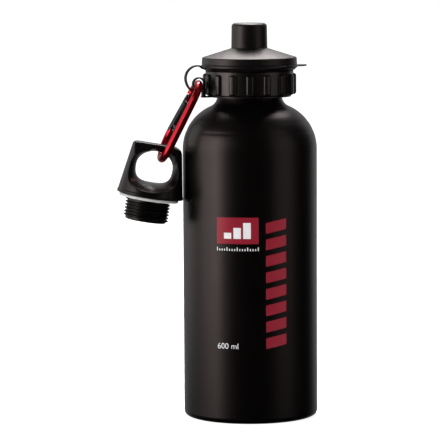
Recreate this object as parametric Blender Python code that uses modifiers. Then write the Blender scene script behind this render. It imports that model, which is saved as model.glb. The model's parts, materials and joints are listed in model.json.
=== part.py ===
"""Slim metal sport bottle with a push-pull cap, a tethered dust cap, a small carabiner and a spare loop stopper.

Run it with blender --background --python part.py, or from Blender's text editor.
The frame is in metres: +Z up the bottle's axis, the base stands on Z = 0, and the photographed side faces -Y.
"""

import math

import bmesh
import bpy
from mathutils import Matrix, Vector

# Clearances
GAP = 0.0003
PIN_GAP = 0.00012

# Bottle shell
BODY_RADIUS = 0.0365
SHELL_WALL = 0.0005
BASE_CORNER = 0.003
BASE_RING_WIDTH = 0.0065
BASE_PANEL_LIFT = 0.0008
SHOULDER_RADIUS = 0.0253
SHOULDER_START = 0.146
NECK_RADIUS = 0.0175
NECK_FILLET = 0.0064
NECK_TOP = 0.1826

# Threaded ring in the neck
THREAD_RADIUS = 0.0123
THREAD_PLAY = 0.0004
THREAD_RING_HEIGHT = 0.0138
THREAD_RING_LIP = 0.0008

# Sealing washers under the cap and under the stopper
SEAL_THICKNESS = 0.0016
SEAL_OUTER = 0.0162

# Sport cap
CAP_RADIUS = 0.0239
RIB_DEPTH = 0.0015
RIB_COUNT = 16
RIB_WIDTH = 0.0042
RIB_TOP_DROP = 0.0016
RIB_ROOT = 0.001
RIB_EDGE = 0.0005
CAP_SKIRT_DEPTH = 0.0103
CAP_DECK = 0.0027
CAP_EDGE = 0.0003
PLUG_LENGTH = 0.0136
PLUG_WALL = 0.0018
SNAP_RADIUS = 0.0229
SNAP_HEIGHT = 0.0016
TOWER_RADIUS = 0.0052
TOWER_WALL = 0.0012
TOWER_HEIGHT = 0.0088
BUNG_RADIUS = 0.0018
SPOKE_WIDTH = 0.0014
SPOKE_HEIGHT = 0.002
SPOKE_COUNT = 3

# Push-pull nozzle
NOZZLE_WALL = 0.0011
NOZZLE_HEIGHT = 0.013
NOZZLE_SKIRT_RADIUS = 0.0078
NOZZLE_TOP_PLATE = 0.0018
NOZZLE_EDGE = 0.0007
NOZZLE_LIP_HEIGHT = 0.0027
NOZZLE_WAIST_DEPTH = 0.0002
NOZZLE_WAIST_HEIGHT = 0.0038
NOZZLE_SKIRT_HEIGHT = 0.0031
NOZZLE_SKIRT_EDGE = 0.0012

# Dust cap
DUST_WALL = 0.0012
DUST_SKIRT_RADIUS = 0.0259
DUST_BEAD_RADIUS = 0.0262
DUST_BEAD_HEIGHT = 0.0028
DUST_SKIRT_HEIGHT = 0.0067
DUST_CONE_RISE = 0.0051
KNOB_RADIUS = 0.0098
KNOB_TAPER = 0.0002
KNOB_HEIGHT = 0.0135
KNOB_EDGE = 0.0012
KNOB_FOOT = 0.0005
CONE_EDGE = 0.0007
BEAD_STEP = 0.0003
BEAD_FLAT = 0.0011
TAB_REACH = 0.0072
TAB_RADIUS = 0.006
TAB_THICKNESS = 0.0009
TAB_EDGE = 0.0002

# Tether: a ring under the cap, a round eye on a short leg, and a thin strap up to the dust cap
TETHER_AZIMUTH = math.radians(22)
RING_THICKNESS = 0.0008
RING_WIDTH = 0.0048
EYE_WALL = 0.0008
EYE_DEPTH = 0.002
EYE_BORE = 0.0029
EYE_RISE = 0.0066
EYE_CLEARANCE = 0.00055
EYE_SIDES = 28
EYE_LEG_WIDTH = 0.0019
EYE_LEG_DROP = 0.0024
TONGUE_WIDTH = 0.0034
STRAP_THICKNESS = 0.00085
STRAP_WIDTH = 0.0024
FLIP_CLEARANCE = 0.0001

# Carabiner, bent from round rod
ROD_RADIUS = 0.0021
CARABINER_LENGTH = 0.0452
SPINE_OFFSET = 0.0085
NOSE_OFFSET = 0.0135
CARABINER_LEAN = math.radians(26.9)
CARABINER_TWIST = math.radians(8.5)

# Carabiner gate, which pivots at its upper end and catches the nose at its lower end
HINGE_BELOW_BEND = 0.0017
HINGE_SHIFT = 0.0001
LATCH_SHIFT = 0.0003
PIN_EDGE_METAL = 0.001
SHOULDER_ABOVE_PIN = 0.0005
FLAT_LENGTH = 0.004
NOSE_FLAT_LENGTH = 0.006
LATCH_REACH = 0.0188
GATE_OVERHANG = 0.0013
GATE_SLOT_BOTTOM = 0.0017
GATE_FORK_HALF = 0.0017
BLADE_THICKNESS = 0.0014
SLOT_WIDTH = 0.0021
PIN_RADIUS = 0.0006
SPRING_BORE = 0.0013
SPRING_WIRE = 0.00022
SPRING_STEPS = 8
SPRING_TURNS = 6
SPRING_LENGTH = 0.0068
PLUNGER_LENGTH = 0.0018
PLUNGER_EDGE = 0.0003

# Loop-top stopper
FLANGE_RADIUS = 0.0177
FLANGE_LIP = 0.0015
FLANGE_STEP = 0.0004
FLANGE_SLOPE = 0.0005
STOPPER_HEIGHT = 0.0282
STOPPER_TOP_RADIUS = 0.0129
STOPPER_EDGE = 0.0016
BAR_HALF_DEPTH = 0.0052
BAR_SLOPE = math.radians(28.4)
LOOP_HALF_WIDTH = 0.0103
LOOP_HALF_HEIGHT = 0.0085
LOOP_CENTRE = 0.0157
FLARE_SIDE = 0.30
FLARE_TOP = 0.58
FLARE_BOTTOM = 0.20
STOPPER_PLUG_LENGTH = 0.0139
STOPPER_PLUG_WALL = 0.0021
STOPPER_PLUG_EDGE = 0.0008
STOPPER_BORE_RISE = 0.0026
STOPPER_BORE_ROUND = 0.0014
STOPPER_TILT = math.radians(9.2)
STOPPER_SIDE_SHIFT = -0.0035
STOPPER_HANG = 0.0208
STOPPER_BACK_SHIFT = 0.0019

# Levels and radii that follow from the sizes above
SHELL_BORE = NECK_RADIUS - SHELL_WALL
THREAD_BORE = THREAD_RADIUS + THREAD_PLAY
RIB_RADIUS = CAP_RADIUS + RIB_DEPTH
LIP_BOTTOM = NECK_TOP + GAP
LIP_TOP = LIP_BOTTOM + THREAD_RING_LIP
SEAL_BOTTOM = LIP_TOP + GAP
CAP_CEILING = SEAL_BOTTOM + SEAL_THICKNESS + GAP
CAP_BOTTOM = CAP_CEILING - CAP_SKIRT_DEPTH
CAP_SHOULDER = CAP_CEILING + CAP_DECK
DECK_TOP = CAP_SHOULDER + SNAP_HEIGHT
TOWER_TOP = DECK_TOP + TOWER_HEIGHT
PLUG_BOTTOM = CAP_CEILING - PLUG_LENGTH
NOZZLE_BOTTOM = DECK_TOP + GAP
NOZZLE_TOP = NOZZLE_BOTTOM + NOZZLE_HEIGHT
NOZZLE_BORE = TOWER_RADIUS + GAP
NOZZLE_HOLE = BUNG_RADIUS + GAP
DUST_BOTTOM = CAP_SHOULDER + GAP
DUST_BORE = SNAP_RADIUS + GAP
CONE_BOTTOM = DUST_BOTTOM + DUST_SKIRT_HEIGHT
KNOB_BASE = CONE_BOTTOM + DUST_CONE_RISE
DUST_TOP = KNOB_BASE + KNOB_HEIGHT
RING_TOP = CAP_BOTTOM - GAP
RING_BOTTOM = RING_TOP - RING_THICKNESS
RING_BORE = NECK_RADIUS + GAP
EYE_OUTER = EYE_BORE + EYE_WALL
EYE_MIDDLE = RIB_RADIUS + EYE_CLEARANCE + EYE_OUTER
EYE_CENTRE_LEVEL = RING_TOP + EYE_RISE
FLIP_RADIUS = DUST_BEAD_RADIUS + FLIP_CLEARANCE

TURN_STEPS = 48
SMALL_STEPS = 40
PIN_SIDES = 12
ROD_SIDES = 20
SHARP_ANGLE = 35
WELD_DISTANCE = 0.000002


def clear_scene():
    """Remove what the startup file holds."""
    for old in list(bpy.data.objects):
        bpy.data.objects.remove(old, do_unlink=True)
    parts = bpy.data.collections.new("sport_bottle")
    cutters = bpy.data.collections.new("cutters")
    bpy.context.scene.collection.children.link(parts)
    bpy.context.scene.collection.children.link(cutters)
    return parts, cutters


PARTS, CUTTERS = clear_scene()


def plain_material(name, colour, roughness, metallic=0.0):
    """A Principled material with one colour."""
    made = bpy.data.materials.new(name)
    made.use_nodes = True
    shader = made.node_tree.nodes["Principled BSDF"]
    shader.inputs["Base Color"].default_value = (*colour, 1.0)
    shader.inputs["Roughness"].default_value = roughness
    shader.inputs["Metallic"].default_value = metallic
    return made


def new_object(name, mesh, material=None, home=None):
    """Link a mesh as an object and give it its material."""
    made = bpy.data.objects.new(name, mesh)
    (home or PARTS).objects.link(made)
    if material:
        mesh.materials.append(material)
    return made


def arc(centre, radius, start, end, steps):
    """Points of an arc in a profile's plane, its two ends included. Angles are in degrees."""
    points = []
    for step in range(steps + 1):
        angle = math.radians(start + (end - start) * step / steps)
        points.append((centre[0] + radius * math.cos(angle), centre[1] + radius * math.sin(angle)))
    return points


def turned(name, profile, material=None, steps=TURN_STEPS, closed=False, home=None):
    """Turn a profile of (radius, height) points about Z. Its outer side runs down."""
    shape = bmesh.new()
    points = [shape.verts.new((radius, 0.0, height)) for radius, height in profile]
    for first, second in zip(points, points[1:]):
        shape.edges.new((first, second))
    if closed:
        shape.edges.new((points[-1], points[0]))
    mesh = bpy.data.meshes.new(name)
    shape.to_mesh(mesh)
    shape.free()
    made = new_object(name, mesh, material, home)
    screw = made.modifiers.new("Turn", "SCREW")
    screw.axis = "Z"
    screw.steps = steps
    screw.render_steps = steps
    screw.use_merge_vertices = True
    screw.merge_threshold = 0.00001
    screw.use_smooth_shade = True
    return made


def frozen(source):
    """Apply an object's modifiers, weld its seams and put its place into its mesh."""
    graph = bpy.context.evaluated_depsgraph_get()
    graph.update()
    mesh = bpy.data.meshes.new_from_object(source.evaluated_get(graph))
    shape = bmesh.new()
    shape.from_mesh(mesh)
    bmesh.ops.remove_doubles(shape, verts=shape.verts, dist=WELD_DISTANCE)
    shape.transform(source.matrix_world)
    shape.to_mesh(mesh)
    shape.free()
    mesh.name = source.name
    made = bpy.data.objects.new(source.name + "_solid", mesh)
    for home in source.users_collection:
        home.objects.link(made)
    name = source.name
    bpy.data.objects.remove(source, do_unlink=True)
    made.name = name
    return made


def as_cutter(made):
    """Keep a helper out of the finished part."""
    for home in list(made.users_collection):
        home.objects.unlink(made)
    CUTTERS.objects.link(made)
    made.hide_render = True
    made.display_type = "WIRE"
    return made


def boolean(target, other, operation):
    """Join or cut a piece with a helper, which becomes a cutter."""
    step = target.modifiers.new(operation.title(), "BOOLEAN")
    step.operation = operation
    step.solver = "EXACT"
    step.object = as_cutter(other)
    return target


def mesh_object(name, shape, material=None):
    """Turn a finished bmesh into an object."""
    mesh = bpy.data.meshes.new(name)
    shape.to_mesh(mesh)
    shape.free()
    return new_object(name, mesh, material)


def block(name, size, place, material=None, bevel=0.0):
    """A box of this size, placed by a matrix, with its edges bevelled where asked."""
    shape = bmesh.new()
    bmesh.ops.create_cube(shape, size=1.0)
    bmesh.ops.scale(shape, vec=size, verts=shape.verts)
    if bevel:
        bmesh.ops.bevel(
            shape, geom=shape.edges, offset=bevel, segments=2, profile=0.5, affect="EDGES", material=-1
        )
    bmesh.ops.transform(shape, matrix=place, verts=shape.verts)
    return mesh_object(name, shape, material)


def rod(name, radius, start, end, material=None, sides=PIN_SIDES, bevel=0.0):
    """A straight round rod between two points."""
    start = Vector(start)
    end = Vector(end)
    length = (end - start).length
    place = Matrix.Translation((start + end) / 2) @ (end - start).to_track_quat("Z", "Y").to_matrix().to_4x4()
    shape = bmesh.new()
    bmesh.ops.create_cone(
        shape, cap_ends=True, segments=sides, radius1=radius, radius2=radius, depth=length
    )
    if bevel:
        rims = [edge for edge in shape.edges if abs(edge.verts[0].co.z - edge.verts[1].co.z) < length / 4]
        bmesh.ops.bevel(
            shape, geom=rims, offset=bevel, segments=2, profile=0.5, affect="EDGES", material=-1
        )
    bmesh.ops.transform(shape, matrix=place, verts=shape.verts)
    return mesh_object(name, shape, material)


def smooth_path(points, per_span):
    """Points along a smooth curve that passes through the given ones."""
    path = []
    padded = [2 * points[0] - points[1], *points, 2 * points[-1] - points[-2]]
    for index in range(1, len(padded) - 2):
        before, first, second, after = padded[index - 1 : index + 3]
        for step in range(per_span):
            t = step / per_span
            path.append(
                0.5
                * (
                    2 * first
                    + (second - before) * t
                    + (2 * before - 5 * first + 4 * second - after) * t * t
                    + (3 * first - before - 3 * second + after) * t * t * t
                )
            )
    path.append(points[-1].copy())
    return path


def ribbon(name, points, width, thickness, material=None):
    """A flat band that follows a path in the XZ plane, widened along Y and given its thickness."""
    shape = bmesh.new()
    rows = []
    for side in (-width / 2, width / 2):
        rows.append([shape.verts.new((point.x, side, point.z)) for point in points])
    for index in range(len(points) - 1):
        shape.faces.new((rows[0][index], rows[0][index + 1], rows[1][index + 1], rows[1][index]))
    made = mesh_object(name, shape, material)
    wall = made.modifiers.new("Thickness", "SOLIDIFY")
    wall.thickness = thickness
    wall.offset = 0.0
    wall.use_even_offset = True
    return made


def tube(name, points, radius, material=None, sides_level=2):
    """A round wire along a list of points."""
    curve = bpy.data.curves.new(name, "CURVE")
    curve.dimensions = "3D"
    curve.bevel_depth = radius
    curve.bevel_resolution = sides_level
    curve.use_fill_caps = True
    line = curve.splines.new("POLY")
    line.points.add(len(points) - 1)
    for spot, point in zip(line.points, points):
        spot.co = (*point, 1.0)
    return frozen(new_object(name, curve, material))


def smooth(made, angle=SHARP_ANGLE):
    """Shade round faces smooth and keep sharp edges sharp."""
    made.data.shade_smooth()
    made.data.set_sharp_from_angle(angle=math.radians(angle))
    return made


def placed(made, place):
    """Put a finished piece in its place and take the place into its mesh."""
    made.data.transform(place)
    return made


COATED_METAL = plain_material("satin_black_coat", (0.022, 0.020, 0.019), 0.38, 0.2)
BARE_METAL = plain_material("bare_metal", (0.62, 0.61, 0.59), 0.35, 1.0)
CAP_PLASTIC = plain_material("glossy_black_plastic", (0.012, 0.012, 0.013), 0.22)
SOFT_PLASTIC = plain_material("soft_black_plastic", (0.020, 0.020, 0.021), 0.45)
NOZZLE_PLASTIC = plain_material("nozzle_plastic", (0.03, 0.03, 0.032), 0.35)
SEAL_RUBBER = plain_material("light_grey_seal", (0.62, 0.62, 0.60), 0.55)
RED_METAL = plain_material("red_anodised", (0.62, 0.02, 0.035), 0.28, 0.8)
BLACK_METAL = plain_material("black_anodised", (0.03, 0.03, 0.032), 0.32, 0.7)
STEEL = plain_material("steel", (0.66, 0.66, 0.67), 0.28, 1.0)


def shoulder_outline(wall):
    """The outer or, with a wall, the inner outline from the neck down to the body's side."""
    shoulder_centre = (BODY_RADIUS - SHOULDER_RADIUS, SHOULDER_START)
    fillet_across = NECK_RADIUS + NECK_FILLET - shoulder_centre[0]
    reach = SHOULDER_RADIUS + NECK_FILLET
    fillet_centre = (
        NECK_RADIUS + NECK_FILLET,
        SHOULDER_START + math.sqrt(reach * reach - fillet_across * fillet_across),
    )
    meeting = math.degrees(math.acos(fillet_across / reach))
    fillet = arc(fillet_centre, NECK_FILLET + wall, 180, 180 + meeting, 4)
    shoulder = arc(shoulder_centre, SHOULDER_RADIUS - wall, meeting, 0, 8)
    return fillet + shoulder[1:]


def bottle_shell():
    """Drawn metal body: flat ring and raised panel at the base, round shoulder, plain neck."""
    outer_corner = arc((BODY_RADIUS - BASE_CORNER, BASE_CORNER), BASE_CORNER, 0, -90, 4)
    inner_corner = arc(
        (BODY_RADIUS - BASE_CORNER, BASE_CORNER + SHELL_WALL / 2), BASE_CORNER - SHELL_WALL, -90, 0, 3
    )
    ring_inside = BODY_RADIUS - BASE_CORNER - BASE_RING_WIDTH
    step = BASE_PANEL_LIFT
    inside = [
        (0.0, BASE_PANEL_LIFT + SHELL_WALL),
        (ring_inside - step, BASE_PANEL_LIFT + SHELL_WALL),
        (ring_inside + step, inner_corner[0][1]),
    ]
    inside += inner_corner
    inside += list(reversed(shoulder_outline(SHELL_WALL)))
    inside.append((SHELL_BORE, NECK_TOP))
    outside = [(NECK_RADIUS, NECK_TOP)]
    outside += shoulder_outline(0.0)
    outside += outer_corner
    outside += [(ring_inside, 0.0), (ring_inside - step, BASE_PANEL_LIFT), (0.0, BASE_PANEL_LIFT)]
    return smooth(frozen(turned("bottle_shell", inside + outside, COATED_METAL)))


def neck_thread_ring():
    """Metal ring fixed in the neck, which carries the thread and a lip over the neck's rim."""
    outer = SHELL_BORE - GAP
    bottom = LIP_TOP - THREAD_RING_HEIGHT
    profile = [
        (THREAD_BORE, LIP_TOP),
        (NECK_RADIUS, LIP_TOP),
        (NECK_RADIUS, LIP_BOTTOM),
        (outer, LIP_BOTTOM),
        (outer, bottom + CAP_EDGE),
        (outer - CAP_EDGE, bottom),
        (THREAD_BORE, bottom),
    ]
    return smooth(frozen(turned("neck_thread_ring", profile, BARE_METAL, closed=True)))


def seal(name):
    """Flat soft washer, lying just below Z = 0."""
    inner = THREAD_RADIUS + THREAD_PLAY
    profile = [
        (inner, 0.0),
        (SEAL_OUTER - CAP_EDGE, 0.0),
        (SEAL_OUTER, -CAP_EDGE),
        (SEAL_OUTER, CAP_EDGE - SEAL_THICKNESS),
        (SEAL_OUTER - CAP_EDGE, -SEAL_THICKNESS),
        (inner, -SEAL_THICKNESS),
    ]
    return frozen(turned(name, profile, SEAL_RUBBER, steps=SMALL_STEPS, closed=True))


def cap_seal():
    """The washer between the sport cap and the neck."""
    return smooth(placed(seal("cap_seal"), Matrix.Translation((0, 0, CAP_CEILING - GAP))))


def sport_cap_body():
    """Ribbed cap with its threaded plug, and the tower and bung that the nozzle closes on."""
    bore = THREAD_RADIUS - PLUG_WALL
    tower_bore = TOWER_RADIUS - TOWER_WALL
    profile = [
        (tower_bore, TOWER_TOP),
        (TOWER_RADIUS, TOWER_TOP),
        (TOWER_RADIUS, DECK_TOP),
        (SNAP_RADIUS - CAP_EDGE, DECK_TOP),
        (SNAP_RADIUS, DECK_TOP - CAP_EDGE),
        (SNAP_RADIUS, CAP_SHOULDER),
        (CAP_RADIUS - CAP_EDGE, CAP_SHOULDER),
        (CAP_RADIUS, CAP_SHOULDER - CAP_EDGE),
        (CAP_RADIUS, CAP_BOTTOM + CAP_EDGE),
        (CAP_RADIUS - CAP_EDGE, CAP_BOTTOM),
        (NECK_RADIUS + 2 * GAP + CAP_EDGE, CAP_BOTTOM),
        (NECK_RADIUS + 2 * GAP, CAP_BOTTOM + CAP_EDGE),
        (NECK_RADIUS + 2 * GAP, CAP_CEILING),
        (THREAD_RADIUS, CAP_CEILING),
        (THREAD_RADIUS, PLUG_BOTTOM + 2 * CAP_EDGE),
        (THREAD_RADIUS - 2 * CAP_EDGE, PLUG_BOTTOM),
        (bore, PLUG_BOTTOM),
        (bore, CAP_CEILING),
        (tower_bore, CAP_CEILING + CAP_DECK / 2),
    ]
    cap = frozen(turned("sport_cap_body", profile, CAP_PLASTIC, closed=True))
    rib_top = CAP_SHOULDER - RIB_TOP_DROP
    rib_depth = RIB_RADIUS - CAP_RADIUS + RIB_ROOT
    ribs = bmesh.new()
    for index in range(RIB_COUNT):
        one = bmesh.new()
        bmesh.ops.create_cube(one, size=1.0)
        bmesh.ops.scale(one, vec=(rib_depth, RIB_WIDTH, rib_top - CAP_BOTTOM), verts=one.verts)
        outer_edges = [edge for edge in one.edges if all(corner.co.x > 0 for corner in edge.verts)]
        bmesh.ops.bevel(
            one, geom=outer_edges, offset=RIB_EDGE, segments=1, profile=0.5, affect="EDGES", material=-1
        )
        turn = Matrix.Rotation(-math.pi / 2 + index * 2 * math.pi / RIB_COUNT, 4, "Z")
        move = Matrix.Translation((RIB_RADIUS - rib_depth / 2, 0, (rib_top + CAP_BOTTOM) / 2))
        one.transform(turn @ move)
        mesh = bpy.data.meshes.new("rib")
        one.to_mesh(mesh)
        one.free()
        ribs.from_mesh(mesh)
    boolean(cap, mesh_object("cap_ribs", ribs), "UNION")
    spoke_level = TOWER_TOP - SPOKE_HEIGHT
    for index in range(SPOKE_COUNT):
        turn = Matrix.Rotation(math.pi / 6 + index * 2 * math.pi / SPOKE_COUNT, 4, "Z")
        reach = (TOWER_RADIUS + tower_bore) / 2
        move = Matrix.Translation((reach / 2, 0, spoke_level))
        boolean(cap, block(f"spoke_{index}", (reach, SPOKE_WIDTH, SPOKE_HEIGHT), turn @ move), "UNION")
    bung_bottom = spoke_level - SPOKE_HEIGHT / 2
    bung = rod("bung", BUNG_RADIUS, (0, 0, bung_bottom), (0, 0, NOZZLE_TOP - GAP), bevel=CAP_EDGE)
    boolean(cap, bung, "UNION")
    return smooth(frozen(cap))


def spout_nozzle():
    """Nozzle that slides on the tower. Pushed down, the bung closes its hole."""
    outer = NOZZLE_BORE + NOZZLE_WALL
    lip_bottom = NOZZLE_TOP - NOZZLE_LIP_HEIGHT
    skirt_top = NOZZLE_BOTTOM + NOZZLE_SKIRT_HEIGHT
    profile = [
        (NOZZLE_HOLE, NOZZLE_TOP),
        (outer - NOZZLE_EDGE, NOZZLE_TOP),
        (outer, NOZZLE_TOP - NOZZLE_EDGE),
        (outer, lip_bottom),
        (outer - NOZZLE_WAIST_DEPTH, lip_bottom - NOZZLE_WAIST_HEIGHT / 2),
        (outer, lip_bottom - NOZZLE_WAIST_HEIGHT),
        (NOZZLE_SKIRT_RADIUS - GAP, skirt_top),
        (NOZZLE_SKIRT_RADIUS, skirt_top - NOZZLE_SKIRT_EDGE),
        (NOZZLE_SKIRT_RADIUS, NOZZLE_BOTTOM),
        (NOZZLE_BORE, NOZZLE_BOTTOM),
        (NOZZLE_BORE, NOZZLE_TOP - NOZZLE_TOP_PLATE),
        (NOZZLE_HOLE, NOZZLE_TOP - NOZZLE_TOP_PLATE),
    ]
    return smooth(frozen(turned("spout_nozzle", profile, NOZZLE_PLASTIC, steps=SMALL_STEPS, closed=True)))


def dust_cap():
    """Soft one-piece cover: bead, skirt, shallow cone, round knob, and a lift tab across from the strap."""
    knob_top_radius = KNOB_RADIUS - KNOB_TAPER
    knob_bore = KNOB_RADIUS - DUST_WALL
    cone_edge = DUST_SKIRT_RADIUS - CONE_EDGE
    bead_top = DUST_BOTTOM + DUST_BEAD_HEIGHT
    outside = [(0.0, DUST_TOP)]
    outside += arc((knob_top_radius - KNOB_EDGE, DUST_TOP - KNOB_EDGE), KNOB_EDGE, 90, 0, 3)
    outside += [
        (KNOB_RADIUS, KNOB_BASE + KNOB_FOOT),
        (KNOB_RADIUS + KNOB_FOOT, KNOB_BASE),
        (cone_edge, CONE_BOTTOM),
        (DUST_SKIRT_RADIUS, CONE_BOTTOM - CONE_EDGE),
        (DUST_SKIRT_RADIUS, bead_top + BEAD_STEP),
        (DUST_BEAD_RADIUS, bead_top),
        (DUST_BEAD_RADIUS, bead_top - BEAD_FLAT),
        (DUST_BORE + DUST_WALL, DUST_BOTTOM),
    ]
    inside = [
        (DUST_BORE, DUST_BOTTOM),
        (DUST_BORE, CONE_BOTTOM - DUST_WALL - CONE_EDGE),
        (DUST_BORE - CONE_EDGE, CONE_BOTTOM - DUST_WALL),
        (knob_bore, KNOB_BASE - DUST_WALL + KNOB_FOOT),
        (knob_bore - KNOB_TAPER, DUST_TOP - DUST_WALL - KNOB_FOOT),
        (knob_bore - KNOB_TAPER - KNOB_FOOT, DUST_TOP - DUST_WALL),
        (0.0, DUST_TOP - DUST_WALL),
    ]
    cap = frozen(turned("dust_cap", outside + inside, SOFT_PLASTIC))
    tab_level = bead_top - TAB_THICKNESS / 2
    tab_centre = DUST_BEAD_RADIUS + TAB_REACH - TAB_RADIUS
    tab = rod(
        "lift_tab",
        TAB_RADIUS,
        (tab_centre, 0, tab_level - TAB_THICKNESS / 2),
        (tab_centre, 0, tab_level + TAB_THICKNESS / 2),
        sides=24,
        bevel=TAB_EDGE,
    )
    inner_limit = (DUST_BORE + DUST_SKIRT_RADIUS) / 2
    core = rod("tab_trim", inner_limit, (0, 0, DUST_BOTTOM), (0, 0, CONE_BOTTOM), sides=TURN_STEPS)
    boolean(tab, core, "DIFFERENCE")
    tab = frozen(tab)
    placed(tab, Matrix.Rotation(TETHER_AZIMUTH, 4, "Z"))
    boolean(cap, tab, "UNION")
    return smooth(frozen(cap))


def tether_ring():
    """Thin ring round the neck, with a tongue, a short leg and a round eye on it."""
    outer = RING_BORE + RING_WIDTH
    profile = [
        (RING_BORE, RING_TOP),
        (outer, RING_TOP),
        (outer, RING_BOTTOM),
        (RING_BORE, RING_BOTTOM),
    ]
    ring = frozen(turned("tether_ring", profile, SOFT_PLASTIC, closed=True))
    turn = Matrix.Rotation(TETHER_AZIMUTH, 4, "Z")
    leg_outer = EYE_MIDDLE - EYE_OUTER + EYE_LEG_WIDTH
    start = outer - RING_THICKNESS
    tongue = block(
        "tongue",
        (leg_outer - start, TONGUE_WIDTH, RING_THICKNESS),
        turn @ Matrix.Translation((-(leg_outer + start) / 2, 0, (RING_TOP + RING_BOTTOM) / 2)),
    )
    boolean(ring, tongue, "UNION")
    sunk = (RING_TOP + RING_BOTTOM) / 2
    leg_top = EYE_CENTRE_LEVEL - EYE_LEG_DROP
    leg = block(
        "eye_leg",
        (EYE_LEG_WIDTH, EYE_DEPTH, leg_top - sunk),
        turn @ Matrix.Translation((EYE_LEG_WIDTH / 2 - leg_outer, 0, (leg_top + sunk) / 2)),
    )
    boolean(ring, leg, "UNION")
    centre = Vector((-EYE_MIDDLE, 0, EYE_CENTRE_LEVEL))
    half = Vector((0, EYE_DEPTH / 2, 0))
    eye = rod("eye_round", EYE_OUTER, centre - half, centre + half, sides=EYE_SIDES)
    boolean(eye, rod("eye_bore", EYE_BORE, centre - 2 * half, centre + 2 * half, sides=EYE_SIDES), "DIFFERENCE")
    boolean(ring, placed(frozen(eye), turn), "UNION")
    return smooth(frozen(ring))


def tether_strap():
    """Thin flexible strap that loops out from the dust cap's bead and back under the eye."""
    bead_side = DUST_BEAD_RADIUS + GAP
    top = DUST_BOTTOM
    under_eye = EYE_CENTRE_LEVEL - EYE_OUTER - GAP - STRAP_THICKNESS / 2
    route = [
        (bead_side + STRAP_THICKNESS / 2, top + 0.0009),
        (bead_side + 0.0016, top + 0.0020),
        (bead_side + 0.0034, top + 0.0028),
        (bead_side + 0.0066, top + 0.0023),
        (bead_side + 0.0096, top - 0.0001),
        (bead_side + 0.0108, top - 0.0037),
        (bead_side + 0.0098, top - 0.0076),
        (EYE_MIDDLE + EYE_OUTER + 0.0004, under_eye + 0.0008),
        (EYE_MIDDLE + 0.0012, under_eye),
    ]
    path = smooth_path([Vector((-across, 0, level)) for across, level in route], 4)
    strap = frozen(ribbon("tether_strap", path, STRAP_WIDTH, STRAP_THICKNESS, SOFT_PLASTIC))
    placed(strap, Matrix.Rotation(TETHER_AZIMUTH, 4, "Z"))
    return smooth(strap)


def carabiner_place():
    """Matrix of the carabiner: X across towards the gate, Y through it, Z up its length, origin at its top bend."""
    lean = CARABINER_LEAN
    twist = CARABINER_TWIST
    up = Vector((math.sin(lean), 0, math.cos(lean)))
    side = Vector((-math.cos(lean), 0, math.sin(lean)))
    across = Vector((0, math.cos(twist), 0)) + math.sin(twist) * side
    through = up.cross(across)
    top = Matrix.Rotation(TETHER_AZIMUTH, 4, "Z") @ Vector((-EYE_MIDDLE, 0, EYE_CENTRE_LEVEL))
    place = Matrix((across, through, up)).transposed().to_4x4()
    place.translation = top
    return place


def gate_line():
    """The hinge and latch points of the gate, in the carabiner's own frame."""
    hinge = Vector((SPINE_OFFSET + HINGE_SHIFT, 0, -SPINE_OFFSET - HINGE_BELOW_BEND))
    nose_level = -CARABINER_LENGTH + NOSE_OFFSET
    spread = NOSE_OFFSET - hinge.x - LATCH_SHIFT
    drop = math.sqrt(LATCH_REACH * LATCH_REACH - spread * spread)
    latch = hinge + Vector((spread, 0, -drop))
    return hinge, latch, nose_level


def pointed(direction):
    """Turn that points Z along a direction in the carabiner's plane and keeps Y through that plane."""
    through = Vector((0, 1, 0))
    return Matrix((through.cross(direction), through, direction)).transposed().to_4x4()


def flat_cut(name, centre, direction, thickness, length):
    """Two slabs that leave a blade of this thickness on a rod's end."""
    place = Matrix.Translation(centre) @ pointed(direction)
    slabs = []
    for side in (-1, 1):
        offset = side * (thickness / 2 + ROD_RADIUS)
        size = (3 * ROD_RADIUS, 2 * ROD_RADIUS, length)
        slabs.append(block(f"{name}_{side}", size, Matrix.Translation((0, offset, 0)) @ place))
    return slabs


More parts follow.
